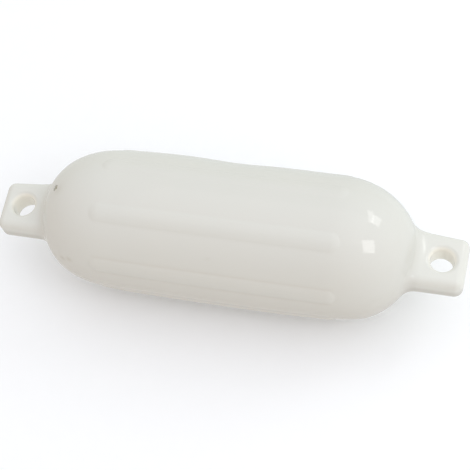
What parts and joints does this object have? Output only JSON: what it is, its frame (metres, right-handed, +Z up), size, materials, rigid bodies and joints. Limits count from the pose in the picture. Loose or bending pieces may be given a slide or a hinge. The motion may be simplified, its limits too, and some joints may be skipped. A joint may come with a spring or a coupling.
{
  "type": "boat fender",
  "caption": "Inflatable ribbed boat fender: a white moulded vinyl cylinder with domed ends, a solid ear with a rope eye at either end, and a rubber valve plug in one dome.",
  "frame": {"origin": "middle of the base, on the flat spot that the body rests on", "axes": "+X along the body, away from the dome with the valve; +Z up, square to the broad faces of the ears"},
  "size_m": [0.4716, 0.1412, 0.1399],
  "materials": {
    "fender_vinyl": "gloss",
    "valve_rubber": "matt"
  },
  "bodies": {
    "root": {"fender_body": "fender_vinyl", "valve_plug": "valve_rubber"}
  },
  "joints": []
}
